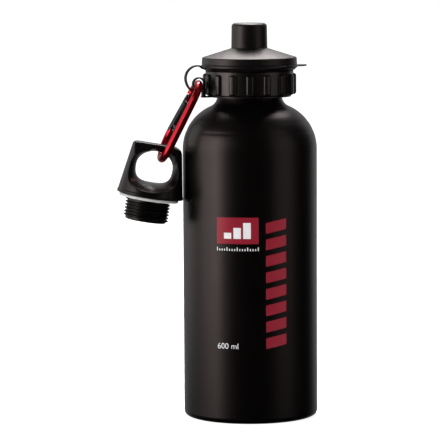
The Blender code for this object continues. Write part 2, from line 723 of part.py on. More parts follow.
def carabiner_frame():
    """Bent rod: top bend, spine and wide bottom bend, with a hinge blade and a hooked nose blade."""
    hinge, latch, nose_level = gate_line()
    small = SPINE_OFFSET
    path = [(hinge.x, hinge.z - PIN_RADIUS - PIN_EDGE_METAL)]
    path += arc((0, -small), small, 0, 180, 14)
    path += arc((0, -CARABINER_LENGTH + small), small, 180, 270, 8)
    path += arc((0, nose_level), NOSE_OFFSET, 270, 360, 11)[1:]
    path.append((latch.x, latch.z + PIN_RADIUS + PIN_EDGE_METAL))
    frame = tube("carabiner_frame", [(across, 0, level) for across, level in path], ROD_RADIUS, RED_METAL, 3)
    shoulder = ROD_RADIUS + SHOULDER_ABOVE_PIN
    hinge_cut_length = shoulder + FLAT_LENGTH
    hinge_middle = hinge + Vector((0, 0, shoulder - hinge_cut_length / 2))
    for slab in flat_cut("hinge_flat", hinge_middle, Vector((0, 0, 1)), BLADE_THICKNESS, hinge_cut_length):
        boolean(frame, slab, "DIFFERENCE")
    gate_direction = (latch - hinge).normalized()
    gate_end = latch + gate_direction * (GATE_OVERHANG + GAP)
    nose_middle = gate_end - gate_direction * NOSE_FLAT_LENGTH / 2
    for slab in flat_cut("nose_flat", nose_middle, gate_direction, BLADE_THICKNESS, NOSE_FLAT_LENGTH):
        boolean(frame, slab, "DIFFERENCE")
    width = 4 * ROD_RADIUS
    hinge_hole = rod("hinge_hole", PIN_RADIUS + PIN_GAP, hinge - Vector((0, width, 0)), hinge + Vector((0, width, 0)))
    boolean(frame, hinge_hole, "DIFFERENCE")
    notch_half = PIN_RADIUS + GAP
    notch_end = rod("notch_end", notch_half, latch - Vector((0, width, 0)), latch + Vector((0, width, 0)))
    boolean(frame, notch_end, "DIFFERENCE")
    mouth = block(
        "notch_mouth",
        (width, width, 2 * notch_half),
        Matrix.Translation(latch - Vector((width / 2, 0, 0))),
    )
    boolean(frame, mouth, "DIFFERENCE")
    placed(smooth(frozen(frame)), carabiner_place())
    return bpy.data.objects["carabiner_frame"]


def gate_body():
    """Round gate with a fork at each end and a spring bore below the hinge."""
    hinge, latch, _ = gate_line()
    direction = (latch - hinge).normalized()
    end = latch + direction * GATE_OVERHANG
    gate = rod("gate_body", ROD_RADIUS, hinge, end, BLACK_METAL, sides=ROD_SIDES)
    half = Vector((0, GATE_FORK_HALF, 0))
    boolean(gate, rod("gate_knuckle", ROD_RADIUS, hinge - half, hinge + half, sides=ROD_SIDES), "UNION")
    place = pointed(direction)
    slot_depth = ROD_RADIUS + GAP
    top_slot = block(
        "gate_top_slot",
        (3 * ROD_RADIUS, SLOT_WIDTH, 2 * slot_depth),
        Matrix.Translation(hinge) @ place,
    )
    boolean(gate, top_slot, "DIFFERENCE")
    low_slot_depth = GATE_OVERHANG + PIN_RADIUS + GATE_SLOT_BOTTOM
    low_slot = block(
        "gate_low_slot",
        (3 * ROD_RADIUS, SLOT_WIDTH, 2 * low_slot_depth),
        Matrix.Translation(end) @ place,
    )
    boolean(gate, low_slot, "DIFFERENCE")
    bore_end = hinge + direction * (slot_depth + PLUNGER_LENGTH / 2 + SPRING_LENGTH + GAP)
    boolean(gate, rod("spring_bore", SPRING_BORE, hinge, bore_end, sides=16), "DIFFERENCE")
    wide = Vector((0, 2 * ROD_RADIUS, 0))
    for name, spot in (("hinge_pin_hole", hinge), ("latch_pin_hole", latch)):
        boolean(gate, rod(name, PIN_RADIUS + PIN_GAP, spot - wide, spot + wide), "DIFFERENCE")
    return placed(smooth(frozen(gate)), carabiner_place())


def gate_pins():
    """Short steel pins across the gate's two forks."""
    hinge, latch, _ = gate_line()
    half = Vector((0, GATE_FORK_HALF - PIN_GAP, 0))
    for name, spot in (("gate_hinge_pin", hinge), ("gate_latch_pin", latch)):
        pin = rod(name, PIN_RADIUS, spot - half, spot + half, STEEL, bevel=PIN_GAP)
        placed(smooth(pin), carabiner_place())


def gate_spring_and_plunger():
    """Small compression spring in the gate's bore, pressing a plunger against the hinge blade."""
    hinge, latch, _ = gate_line()
    direction = (latch - hinge).normalized()
    turn = pointed(direction)
    plunger_start = hinge + direction * (PIN_RADIUS + PIN_EDGE_METAL + 2 * GAP)
    plunger_end = plunger_start + direction * PLUNGER_LENGTH
    plunger_radius = SPRING_BORE - GAP
    plunger = rod("gate_plunger", plunger_radius, plunger_start, plunger_end, STEEL, bevel=PLUNGER_EDGE)
    placed(smooth(plunger), carabiner_place())
    coil_radius = SPRING_BORE - GAP - SPRING_WIRE
    coil = []
    steps = SPRING_TURNS * SPRING_STEPS
    length = SPRING_LENGTH - PLUNGER_LENGTH / 2
    for step in range(steps + 1):
        angle = 2 * math.pi * SPRING_TURNS * step / steps
        rise = SPRING_WIRE + (length - 2 * SPRING_WIRE) * step / steps
        coil.append((coil_radius * math.cos(angle), coil_radius * math.sin(angle), rise))
    spring = tube("gate_spring", coil, SPRING_WIRE, STEEL, 1)
    base = Matrix.Translation(plunger_end + direction * GAP) @ turn
    placed(smooth(spring), carabiner_place() @ base)


def stopper_place():
    """Matrix of the stopper: origin under the middle of its flange, Z up its own axis, hung on the carabiner."""
    hook = carabiner_place() @ Vector((0, 0, -CARABINER_LENGTH))
    turn = Matrix.Rotation(STOPPER_TILT, 4, "Y")
    offset = turn @ Vector((STOPPER_SIDE_SHIFT, STOPPER_BACK_SHIFT, -STOPPER_HANG))
    return Matrix.Translation(hook + offset) @ turn


def loop_cutter():
    """Finger hole of the stopper: rounded, flatter at its foot, and flared towards both faces."""
    far = 0.022
    shape = bmesh.new()
    bmesh.ops.create_cone(shape, cap_ends=True, segments=44, radius1=1.0, radius2=1.0, depth=2.0)
    sides = [face for face in shape.faces if len(face.verts) == 4]
    edges = list({edge for face in sides for edge in face.edges if edge.verts[0].co.z != edge.verts[1].co.z})
    bmesh.ops.subdivide_edges(shape, edges=edges, cuts=1)
    for corner in shape.verts:
        out = abs(corner.co.z)
        angle = math.atan2(corner.co.y, corner.co.x)
        half_width = LOOP_HALF_WIDTH + FLARE_SIDE * far * out
        flare = FLARE_TOP if angle > 0 else FLARE_BOTTOM
        half_height = LOOP_HALF_HEIGHT + flare * far * out
        fullness = 2.0 if angle > 0 else 2.6
        cosine = math.copysign(abs(math.cos(angle)) ** (2 / fullness), math.cos(angle))
        sine = math.copysign(abs(math.sin(angle)) ** (2 / fullness), math.sin(angle))
        corner.co = (half_width * cosine, -far * corner.co.z, LOOP_CENTRE + half_height * sine)
    return mesh_object("finger_hole", shape)


def stopper_body():
    """One-piece stopper: conical loop head with a flared finger hole, flange, and hollow threaded plug."""
    cone_foot = FLANGE_RADIUS - FLANGE_STEP
    slope = (cone_foot - STOPPER_TOP_RADIUS) / (STOPPER_HEIGHT - STOPPER_EDGE - FLANGE_LIP)
    lean = math.degrees(math.atan(slope))
    edge_centre = (STOPPER_TOP_RADIUS - STOPPER_EDGE, STOPPER_HEIGHT - STOPPER_EDGE)
    plug_bore = THREAD_RADIUS - STOPPER_PLUG_WALL
    profile = [(0.0, STOPPER_HEIGHT)]
    profile += arc(edge_centre, STOPPER_EDGE, 90, lean, 4)
    profile += [
        (cone_foot, FLANGE_LIP + FLANGE_SLOPE),
        (FLANGE_RADIUS, FLANGE_LIP),
        (FLANGE_RADIUS, CAP_EDGE),
        (FLANGE_RADIUS - CAP_EDGE, 0.0),
        (THREAD_RADIUS, 0.0),
        (THREAD_RADIUS, STOPPER_PLUG_EDGE - STOPPER_PLUG_LENGTH),
        (THREAD_RADIUS - STOPPER_PLUG_EDGE, -STOPPER_PLUG_LENGTH),
        (plug_bore, -STOPPER_PLUG_LENGTH),
        (plug_bore, STOPPER_BORE_RISE - STOPPER_BORE_ROUND),
        (plug_bore - STOPPER_BORE_ROUND, STOPPER_BORE_RISE),
        (0.0, STOPPER_BORE_RISE),
    ]
    body = frozen(turned("stopper_body", profile, CAP_PLASTIC))
    for side in (-1, 1):
        tilt = Matrix.Rotation(side * BAR_SLOPE, 4, "X")
        edge = Vector((0, side * BAR_HALF_DEPTH, STOPPER_HEIGHT))
        move = Matrix.Translation(edge) @ tilt @ Matrix.Translation((0, side * FLANGE_RADIUS, 0))
        size = (4 * FLANGE_RADIUS, 2 * FLANGE_RADIUS, 3 * STOPPER_HEIGHT)
        boolean(body, block(f"bar_cut_{side}", size, move), "DIFFERENCE")
    boolean(body, loop_cutter(), "DIFFERENCE")
    return placed(smooth(frozen(body)), stopper_place())


def stopper_seal():
    """The stopper's own washer, under its flange."""
    return smooth(placed(seal("stopper_seal"), stopper_place() @ Matrix.Translation((0, 0, -GAP))))


def pivot_empty(name, place, pieces):
    """Mark a joint's axis with an empty and hang the moving pieces on it without moving them."""
    mark = bpy.data.objects.new(name, None)
    mark.empty_display_size = ROD_RADIUS
    PARTS.objects.link(mark)
    mark.matrix_world = place
    bpy.context.view_layer.update()
    for piece in pieces:
        child = bpy.data.objects[piece]
        child.parent = mark
        child.matrix_parent_inverse = place.inverted()


bottle_shell()
neck_thread_ring()
cap_seal()
sport_cap_body()
spout_nozzle()
dust_cap()
tether_ring()
tether_strap()
carabiner_frame()
gate_body()
gate_pins()
gate_spring_and_plunger()
stopper_body()
stopper_seal()

TETHER_TURN = Matrix.Rotation(TETHER_AZIMUTH, 4, "Z")
HINGE_POINT, LATCH_POINT, _ = gate_line()
pivot_empty("flip_axis", TETHER_TURN @ Matrix.Translation((-FLIP_RADIUS, 0, DUST_BOTTOM)), ["dust_cap"])
pivot_empty("carabiner_axis", carabiner_place(), ["carabiner_frame"])
pivot_empty(
    "gate_axis",
    carabiner_place() @ Matrix.Translation(HINGE_POINT),
    ["gate_body", "gate_hinge_pin", "gate_latch_pin", "gate_spring", "gate_plunger"],
)
pivot_empty(
    "stopper_axis",
    carabiner_place() @ Matrix.Translation((0, 0, -CARABINER_LENGTH)),
    ["stopper_body", "stopper_seal"],
)
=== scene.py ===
"""The looks of a slim black sport bottle, its dust cap, tether, carabiner and spare stopper."""

import json
import math

import bmesh
import bpy
from mathutils import Matrix, Vector


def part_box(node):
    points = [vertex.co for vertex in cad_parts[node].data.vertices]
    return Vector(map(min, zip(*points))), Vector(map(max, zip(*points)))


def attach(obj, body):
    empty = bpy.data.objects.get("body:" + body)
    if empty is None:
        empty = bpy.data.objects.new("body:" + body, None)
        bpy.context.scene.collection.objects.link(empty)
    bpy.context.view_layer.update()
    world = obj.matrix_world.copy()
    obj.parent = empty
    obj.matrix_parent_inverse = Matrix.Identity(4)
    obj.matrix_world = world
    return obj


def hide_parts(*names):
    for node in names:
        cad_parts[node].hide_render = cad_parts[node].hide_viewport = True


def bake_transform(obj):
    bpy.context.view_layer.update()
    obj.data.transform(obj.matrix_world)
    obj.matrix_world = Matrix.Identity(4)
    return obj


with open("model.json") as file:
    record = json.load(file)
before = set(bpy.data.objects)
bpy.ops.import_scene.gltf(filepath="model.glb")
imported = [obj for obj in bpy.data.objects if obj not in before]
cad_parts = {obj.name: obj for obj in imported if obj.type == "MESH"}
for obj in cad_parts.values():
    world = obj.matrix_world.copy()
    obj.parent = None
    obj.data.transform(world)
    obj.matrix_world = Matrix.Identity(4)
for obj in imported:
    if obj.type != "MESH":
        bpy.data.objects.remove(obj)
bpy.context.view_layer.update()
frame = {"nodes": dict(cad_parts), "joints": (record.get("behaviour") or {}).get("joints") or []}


# Bottle. A thin steel shell, drawn in one piece and necked in over the round shoulder.
# Outside it has a satin black powder coat with a fine grain, and faint rings where the tool necked it in.
BODY_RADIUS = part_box("bottle_shell")[1].x
NECK_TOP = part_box("bottle_shell")[1].z
NECK_RADIUS = 0.0175
NECK_MEETING = 0.17086
NECK_ROUND = 0.0064
SHOULDER_MEETING = 0.16254
SHOULDER_ROUND = 0.0253
BASE_ROUND = 0.003
BASE_RING_INSIDE = 0.027
BASE_PANEL = 0.0008
SHELL_WALL = 0.0005
NECKING_RINGS = ((0.1505, 0.00004), (0.1562, 0.00010), (0.1612, 0.00006), (0.1655, 0.00005))
NECKING_RING_HALF = 0.0014


class Reading:
    """A value that varies over a surface. Sums written on it become Math nodes of its tree."""

    def __init__(self, nodes, socket):
        self.nodes = nodes
        self.socket = socket

    def maths(self, operation, *values):
        return self.nodes.node("ShaderNodeMath", {"operation": operation}, dict(enumerate(values)))

    def __add__(self, other):
        return self.maths("ADD", self, other)

    def __radd__(self, other):
        return self.maths("ADD", other, self)

    def __sub__(self, other):
        return self.maths("SUBTRACT", self, other)

    def __rsub__(self, other):
        return self.maths("SUBTRACT", other, self)

    def __mul__(self, other):
        return self.maths("MULTIPLY", self, other)

    def __rmul__(self, other):
        return self.maths("MULTIPLY", other, self)

    def step(self, low, high, top=1.0):
        """0 below low, top above high, and smooth between them."""
        limits = {"Value": self, "From Min": low, "From Max": high, "To Max": top}
        return self.nodes.node("ShaderNodeMapRange", {"interpolation_type": "SMOOTHSTEP"}, limits)


class Nodes:
    """A node tree that is being built up to its last node. One method adds any other node."""

    def __init__(self, tree, last):
        self.tree = tree
        self.last = tree.nodes[last]

    def node(self, kind, settings, values, output=0):
        """Add a node with these settings and socket values, and read one of its outputs."""
        made = self.tree.nodes.new(kind)
        for name, value in settings.items():
            setattr(made, name, value)
        for name, value in values.items():
            if isinstance(value, Reading):
                self.tree.links.new(value.socket, made.inputs[name])
            else:
                made.inputs[name].default_value = value
        return Reading(self, made.outputs[output])

    def feed(self, socket, value):
        """Link a reading to a socket of the last node."""
        self.tree.links.new(value.socket, self.last.inputs[socket])


class Finish(Nodes):
    """A material being made: a Principled shader and what varies its colour, gloss and relief."""

    def __init__(self, name, fixed):
        self.material = bpy.data.materials.new(name)
        self.material.use_nodes = True
        super().__init__(self.material.node_tree, "Principled BSDF")
        for socket, value in fixed.items():
            self.last.inputs[socket].default_value = value

    def place(self):
        return self.node("ShaderNodeTexCoord", {}, {}, "Object")

    def noise(self, size, detail=2.0):
        """Cloudy noise from 0 to 1 with features of this size in metres."""
        values = {"Vector": self.place(), "Scale": 1 / size, "Detail": detail}
        return self.node("ShaderNodeTexNoise", {}, values)

    def mixed(self, amount, first, second):
        """One colour turning into another."""
        colours = {0: amount, 6: (*first, 1), 7: (*second, 1)}
        return self.node("ShaderNodeMix", {"data_type": "RGBA"}, colours, 2)

    def bump(self, height, depth):
        """Raise the surface by a height from 0 to 1, of this depth in metres."""
        relief = {"Height": height, "Distance": depth, "Strength": 1.0}
        self.feed("Normal", self.node("ShaderNodeBump", {}, relief))


def rounded(corners, fineness):
    """Outline points from (radius, height) corners. A corner's third number rounds it to that radius."""
    outline = []
    for index, corner in enumerate(corners):
        here = Vector(corner[:2])
        if len(corner) == 2:
            outline.append(tuple(here))
            continue
        before = (Vector(corners[index - 1][:2]) - here).normalized()
        after = (Vector(corners[(index + 1) % len(corners)][:2]) - here).normalized()
        half = before.angle(after) / 2
        centre = here + (before + after).normalized() * corner[2] / math.sin(half)
        first = here + before * corner[2] / math.tan(half) - centre
        sweep = math.pi - 2 * half
        side = 1 if before.cross(after) < 0 else -1
        steps = max(3, math.ceil(sweep / math.radians(fineness)))
        for step in range(steps + 1):
            outline.append(tuple(centre + Matrix.Rotation(side * sweep * step / steps, 2) @ first))
    return outline


def turned(corners, steps=128, closed=True, fineness=8):
    """A turned shape about Z from the corners of its outline, which runs down its outer side."""
    shape = bmesh.new()
    points = [shape.verts.new((radius, 0, height)) for radius, height in rounded(corners, fineness)]
    pairs = list(zip(points, points[1:]))
    if closed:
        pairs.append((points[-1], points[0]))
    lines = [shape.edges.new(pair) for pair in pairs]
    bmesh.ops.spin(
        shape,
        geom=points + lines,
        cent=(0, 0, 0),
        axis=(0, 0, 1),
        angle=math.tau,
        steps=steps,
        use_merge=True,
    )
    bmesh.ops.remove_doubles(shape, verts=shape.verts, dist=0.000001)
    bmesh.ops.recalc_face_normals(shape, faces=shape.faces)
    return shape


def piece(name, shape, finish, body, stands_for=(), sharp=32):
    """Make a finished shape an object that rides on a body, and hide the solids that it stands for."""
    mesh = bpy.data.meshes.new(name)
    shape.to_mesh(mesh)
    shape.free()
    mesh.materials.append(finish.material)
    mesh.shade_smooth()
    mesh.set_sharp_from_angle(angle=math.radians(sharp))
    made = bpy.data.objects.new(name, mesh)
    bpy.context.scene.collection.objects.link(made)
    if body:
        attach(made, body)
    if stands_for:
        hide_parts(*stands_for)
    return made


powder_coat = Finish(
    "satin_black_powder_coat",
    {
        "Base Color": (0.0010, 0.0008, 0.0008, 1),
        "Roughness": 0.355,
        "IOR": 1.5,
        "Specular Tint": (1.0, 0.80, 0.76, 1),
    },
)
coat_grain = powder_coat.noise(0.00035)
coat_cloud = powder_coat.noise(0.014)
powder_coat.feed("Roughness", 0.33 + 0.05 * coat_cloud)
powder_coat.bump(coat_grain * 0.35 + coat_cloud * 0.3, 0.00003)

shell = turned(
    [
        (0, BASE_PANEL + SHELL_WALL),
        (BASE_RING_INSIDE - BASE_PANEL, BASE_PANEL + SHELL_WALL, 0.0006),
        (BASE_RING_INSIDE + BASE_PANEL, SHELL_WALL, 0.0006),
        (BODY_RADIUS - SHELL_WALL, SHELL_WALL, BASE_ROUND - SHELL_WALL),
        (BODY_RADIUS - SHELL_WALL, SHOULDER_MEETING, SHOULDER_ROUND - SHELL_WALL),
        (NECK_RADIUS - SHELL_WALL, NECK_MEETING, NECK_ROUND + SHELL_WALL),
        (NECK_RADIUS - SHELL_WALL, NECK_TOP),
        (NECK_RADIUS, NECK_TOP),
        (NECK_RADIUS, NECK_MEETING, NECK_ROUND),
        (BODY_RADIUS, SHOULDER_MEETING, SHOULDER_ROUND),
        (BODY_RADIUS, 0, BASE_ROUND),
        (BASE_RING_INSIDE, 0, 0.0004),
        (BASE_RING_INSIDE - BASE_PANEL, BASE_PANEL, 0.0004),
        (0, BASE_PANEL),
    ],
    steps=160,
    closed=False,
    fineness=1.0,
)
for ring_level, ring_depth in NECKING_RINGS:
    for corner in shell.verts:
        nearness = 1 - abs(corner.co.z - ring_level) / NECKING_RING_HALF
        if nearness > 0:
            inward = 1 - ring_depth * nearness * nearness * (3 - 2 * nearness) / BODY_RADIUS
            corner.co = (corner.co.x * inward, corner.co.y * inward, corner.co.z)
piece("bottle_coat", shell, powder_coat, "bottle", ["bottle_shell"])


# Ring in the neck. Turned steel, pressed into the neck, where both plugs screw into it; its own thread
# is out of sight and left plain. The cap's washer on top of it is punched from light grey rubber.
def dressed(node, finish, body, sharp=32, edge=0.0):
    """A smooth-shaded copy of a solid whose form is right as it is, with its edges eased where asked."""
    shape = bmesh.new()
    shape.from_mesh(frame["nodes"][node].data)
    bmesh.ops.remove_doubles(shape, verts=shape.verts, dist=0.000002)
    bmesh.ops.dissolve_limit(shape, angle_limit=math.radians(0.5), verts=shape.verts, edges=shape.edges)
    made = piece(node + "_dressed", shape, finish, body, [node], sharp)
    if edge:
        ease = made.modifiers.new("Eased edges", "BEVEL")
        ease.width = edge
        ease.segments = 3
        ease.limit_method = "ANGLE"
        ease.angle_limit = math.radians(sharp)
        ease.harden_normals = True
    return made


bare_steel = Finish(
    "turned_steel", {"Base Color": (0.50, 0.50, 0.51, 1), "Metallic": 1.0, "Roughness": 0.3, "IOR": 1.5}
)
steel_cloud = bare_steel.noise(0.0008, 3)
bare_steel.feed("Roughness", 0.24 + 0.14 * steel_cloud)
bare_steel.bump(steel_cloud, 0.000004)
dressed("neck_thread_ring", bare_steel, "bottle", edge=0.00015)

grey_rubber = Finish(
    "light_grey_rubber", {"Base Color": (0.55, 0.55, 0.53, 1), "Roughness": 0.55, "IOR": 1.5}
)
rubber_grain = grey_rubber.noise(0.0004, 3)
grey_rubber.feed("Base Color", grey_rubber.mixed(rubber_grain, (0.50, 0.50, 0.48), (0.60, 0.60, 0.58)))
grey_rubber.bump(rubber_grain, 0.00002)
dressed("cap_seal", grey_rubber, "cap_carrier", edge=0.0002)


# Sport cap. One glossy black moulding: ribbed collar, threaded plug below, deck, and the tower
# with the bung on its three spokes, which the nozzle closes on.
CAP_RADIUS = 0.0239
COLLAR_BORE = 0.0181
COLLAR_SKIRT = 0.0103
SEAL_SQUEEZE = 0.0003
CAP_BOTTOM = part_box("cap_seal")[1].z + SEAL_SQUEEZE - COLLAR_SKIRT
CAP_CEILING = CAP_BOTTOM + COLLAR_SKIRT
CAP_SHOULDER = CAP_CEILING + 0.0027
DECK_RADIUS = 0.0229
DECK_TOP = CAP_SHOULDER + 0.0016
TOWER_TOP = DECK_TOP + 0.0088
TOWER_RADIUS = 0.0052
TOWER_BORE = 0.0040
TOWER_BORE_FOOT = CAP_CEILING + 0.00135
BUNG_RADIUS = 0.0018
BUNG_BOTTOM = TOWER_TOP - 0.003
BUNG_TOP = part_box("sport_cap_body")[1].z
PLUG_BOTTOM = CAP_CEILING - 0.0136
PLUG_RADIUS = 0.0123
CAP_PLUG_BORE = 0.0105
RIB_RADIUS = 0.0254
RIB_WIDTH = 0.0042
RIB_DEPTH = 0.004
RIB_ROUND = 0.0013
RIB_TOP = CAP_SHOULDER - 0.0016
RIB_COUNT = 16
SPOKE_COUNT = 3
SPOKE_SIZE = (0.0046, 0.0014, 0.002)
THREAD_PITCH = 0.00175
THREAD_DEPTH = 0.0012
THREAD_STEPS = 64
THREAD_FOOT = 0.46
THREAD_CREST = 0.07

gloss_plastic = Finish(
    "glossy_black_plastic",
    {
        "Base Color": (0.0030, 0.0027, 0.0026, 1),
        "Roughness": 0.33,
        "IOR": 1.62,
        "Specular Tint": (1.0, 0.84, 0.80, 1),
    },
)
mould_cloud = gloss_plastic.noise(0.004, 2)
gloss_plastic.feed("Roughness", 0.30 + 0.06 * mould_cloud)
gloss_plastic.bump(mould_cloud * 0.7 + gloss_plastic.noise(0.0005) * 0.3, 0.00003)


def thread(radius, top, bottom):
    """A helical thread with rounded crests, wound round a plug that stands on Z."""
    shape = bmesh.new()
    foot = THREAD_PITCH * THREAD_FOOT
    crest = THREAD_PITCH * THREAD_CREST
    root = radius - 0.0002
    section = [(root, foot), (radius, foot * 0.95), (radius + THREAD_DEPTH, crest)]
    section += [(reach, -level) for reach, level in reversed(section)]
    points = [shape.verts.new((reach, 0, bottom + level)) for reach, level in section]
    lines = [shape.edges.new(pair) for pair in zip(points, points[1:] + points[:1])]
    turns = (top - bottom) / THREAD_PITCH
    bmesh.ops.spin(
        shape,
        geom=points + lines,
        cent=(0, 0, 0),
        axis=(0, 0, 1),
        dvec=(0, 0, THREAD_PITCH / THREAD_STEPS),
        angle=math.tau * turns,
        steps=round(THREAD_STEPS * turns),
    )
    open_ends = [edge for edge in shape.edges if edge.is_boundary]
    bmesh.ops.holes_fill(shape, edges=open_ends, sides=8)
    bmesh.ops.recalc_face_normals(shape, faces=shape.faces)
    return shape


def joined(*shapes):
    """Several shapes as one."""
    whole = bmesh.new()
    for shape in shapes:
        mesh = bpy.data.meshes.new("joined")
        shape.to_mesh(mesh)
        shape.free()
        whole.from_mesh(mesh)
        bpy.data.meshes.remove(mesh)
    return whole


def peg(radius, bottom, top, edge, sides=48):
    """An upright round peg with eased rims."""
    shape = bmesh.new()
    bmesh.ops.create_cone(
        shape, cap_ends=True, segments=sides, radius1=radius, radius2=radius, depth=top - bottom
    )
    rims = [line for line in shape.edges if line.verts[0].co.z == line.verts[1].co.z]
    bmesh.ops.bevel(shape, geom=rims, offset=edge, segments=3, profile=0.5, affect="EDGES", material=-1)
    bmesh.ops.translate(shape, verts=shape.verts, vec=(0, 0, (top + bottom) / 2))
    return shape


def bar(size, edge, segments=3):
    """A straight bar about the origin with eased edges."""
    shape = bmesh.new()
    bmesh.ops.create_cube(shape, size=1)
    bmesh.ops.scale(shape, verts=shape.verts, vec=size)
    bmesh.ops.bevel(
        shape, geom=shape.edges, offset=edge, segments=segments, profile=0.5, affect="EDGES", material=-1
    )
    return shape


cap_forms = [
    turned(
        [
            (TOWER_BORE, TOWER_TOP, 0.0003),
            (TOWER_RADIUS, TOWER_TOP, 0.0004),
            (TOWER_RADIUS, DECK_TOP, 0.0006),
            (DECK_RADIUS, DECK_TOP, 0.0004),
            (DECK_RADIUS, CAP_SHOULDER, 0.0002),
            (CAP_RADIUS, CAP_SHOULDER, 0.0004),
            (CAP_RADIUS, CAP_BOTTOM, 0.0004),
            (COLLAR_BORE, CAP_BOTTOM, 0.0003),
            (COLLAR_BORE, CAP_CEILING),
            (PLUG_RADIUS - THREAD_DEPTH, CAP_CEILING),
            (PLUG_RADIUS - THREAD_DEPTH, PLUG_BOTTOM, 0.0004),
            (CAP_PLUG_BORE, PLUG_BOTTOM, 0.0003),
            (CAP_PLUG_BORE, CAP_CEILING),
            (TOWER_BORE, TOWER_BORE_FOOT),
        ]
    ),
    thread(PLUG_RADIUS - THREAD_DEPTH, CAP_CEILING - 0.002, PLUG_BOTTOM + 0.0013),
    peg(BUNG_RADIUS, BUNG_BOTTOM, BUNG_TOP, 0.0003),
]
for index in range(RIB_COUNT):
    rib = bar((RIB_DEPTH, RIB_WIDTH, RIB_TOP - CAP_BOTTOM), RIB_ROUND, 4)
    bmesh.ops.translate(rib, verts=rib.verts, vec=(RIB_RADIUS - RIB_DEPTH / 2, 0, (RIB_TOP + CAP_BOTTOM) / 2))
    rib.transform(Matrix.Rotation(math.tau * index / RIB_COUNT - math.pi / 2, 4, "Z"))
    cap_forms.append(rib)
for index in range(SPOKE_COUNT):
    spoke = bar(SPOKE_SIZE, 0.0002)
    bmesh.ops.translate(spoke, verts=spoke.verts, vec=(SPOKE_SIZE[0] / 2, 0, TOWER_TOP - SPOKE_SIZE[2]))
    spoke.transform(Matrix.Rotation(math.tau * index / SPOKE_COUNT + math.pi / 6, 4, "Z"))
    cap_forms.append(spoke)
cap_form = joined(*cap_forms)
piece("sport_cap_moulding", cap_form, gloss_plastic, "sport_cap", ["sport_cap_body"])


# Nozzle. A push-pull spout of dark satin plastic that slides on the cap's tower.
nozzle_plastic = Finish(
    "satin_nozzle_plastic", {"Base Color": (0.018, 0.018, 0.019, 1), "Roughness": 0.36, "IOR": 1.5}
)
nozzle_cloud = nozzle_plastic.noise(0.002, 3)
nozzle_plastic.feed("Roughness", 0.30 + 0.12 * nozzle_cloud)
nozzle_plastic.bump(nozzle_cloud, 0.00002)
dressed("spout_nozzle", nozzle_plastic, "nozzle", edge=0.00025)


# Dust cap. A soft black moulding: round knob, shallow cone, skirt and a bead that snaps on the cap,
# with a thin lift tab on the side away from the strap.
DUST_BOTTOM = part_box("dust_cap")[0].z
DUST_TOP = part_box("dust_cap")[1].z
CONE_BOTTOM = DUST_BOTTOM + 0.0067
KNOB_BASE = CONE_BOTTOM + 0.0051
KNOB_RADIUS = 0.0098
BEAD_RADIUS = 0.0262
DUST_BORE = 0.0232
DUST_WALL = 0.0012
TETHER_AZIMUTH = math.radians(22)
TAB_TIP = 0.0334
TAB_RADIUS = 0.006
TAB_HALF_THICKNESS = 0.0004
TAB_ROOT = 0.0248
TAB_BEND_FROM = 0.0270
TAB_BEND = 4.0

soft_plastic = Finish(
    "soft_black_plastic",
    {
        "Base Color": (0.0040, 0.0036, 0.0035, 1),
        "Roughness": 0.40,
        "IOR": 1.5,
        "Specular Tint": (1.0, 0.84, 0.80, 1),
    },
)
soft_cloud = soft_plastic.noise(0.006, 2)
height = soft_plastic.node("ShaderNodeSeparateXYZ", {}, {0: soft_plastic.place()}, "Z")
on_cone = height.step(CONE_BOTTOM - 0.0004, CONE_BOTTOM + 0.0004)
on_cone = on_cone * (1 - height.step(KNOB_BASE, KNOB_BASE + 0.001))
soft_plastic.feed("Roughness", 0.37 + 0.06 * soft_cloud + on_cone * 0.12)
soft_plastic.bump(soft_plastic.noise(0.0004) * 0.5 + soft_cloud * 0.5, 0.00002)

cover = turned(
    [
        (0, DUST_TOP),
        (KNOB_RADIUS - 0.0002, DUST_TOP, 0.0020),
        (KNOB_RADIUS, KNOB_BASE, 0.0006),
        (0.0257, CONE_BOTTOM + 0.0001, 0.0008),
        (0.0259, DUST_BOTTOM + 0.0033, 0.0003),
        (0.0256, DUST_BOTTOM + 0.0030, 0.0002),
        (BEAD_RADIUS, DUST_BOTTOM + 0.0027, 0.0003),
        (BEAD_RADIUS, DUST_BOTTOM + 0.0016, 0.0006),
        (0.0244, DUST_BOTTOM, 0.0003),
        (DUST_BORE, DUST_BOTTOM, 0.0003),
        (DUST_BORE, CONE_BOTTOM - DUST_WALL, 0.0006),
        (KNOB_RADIUS - DUST_WALL, KNOB_BASE - DUST_WALL + 0.0005, 0.0005),
        (KNOB_RADIUS - DUST_WALL, DUST_TOP - DUST_WALL, 0.0008),
        (0, DUST_TOP - DUST_WALL),
    ],
    closed=False,
)
tab = peg(TAB_RADIUS, -TAB_HALF_THICKNESS, TAB_HALF_THICKNESS, 0.00025, sides=64)
bmesh.ops.translate(tab, verts=tab.verts, vec=(TAB_TIP - TAB_RADIUS, 0, DUST_BOTTOM + 0.0018))
whole_tab = tab.verts[:] + tab.edges[:] + tab.faces[:]
bmesh.ops.bisect_plane(tab, geom=whole_tab, plane_co=(TAB_ROOT, 0, 0), plane_no=(-1, 0, 0), clear_outer=True)
bmesh.ops.holes_fill(tab, edges=[edge for edge in tab.edges if edge.is_boundary], sides=0)
for corner in tab.verts:
    corner.co.z += TAB_BEND * max(0.0, corner.co.x - TAB_BEND_FROM) ** 2
tab.transform(Matrix.Rotation(TETHER_AZIMUTH, 4, "Z"))
piece("dust_cap_cover", joined(cover, tab), soft_plastic, "dust_cap", ["dust_cap"])


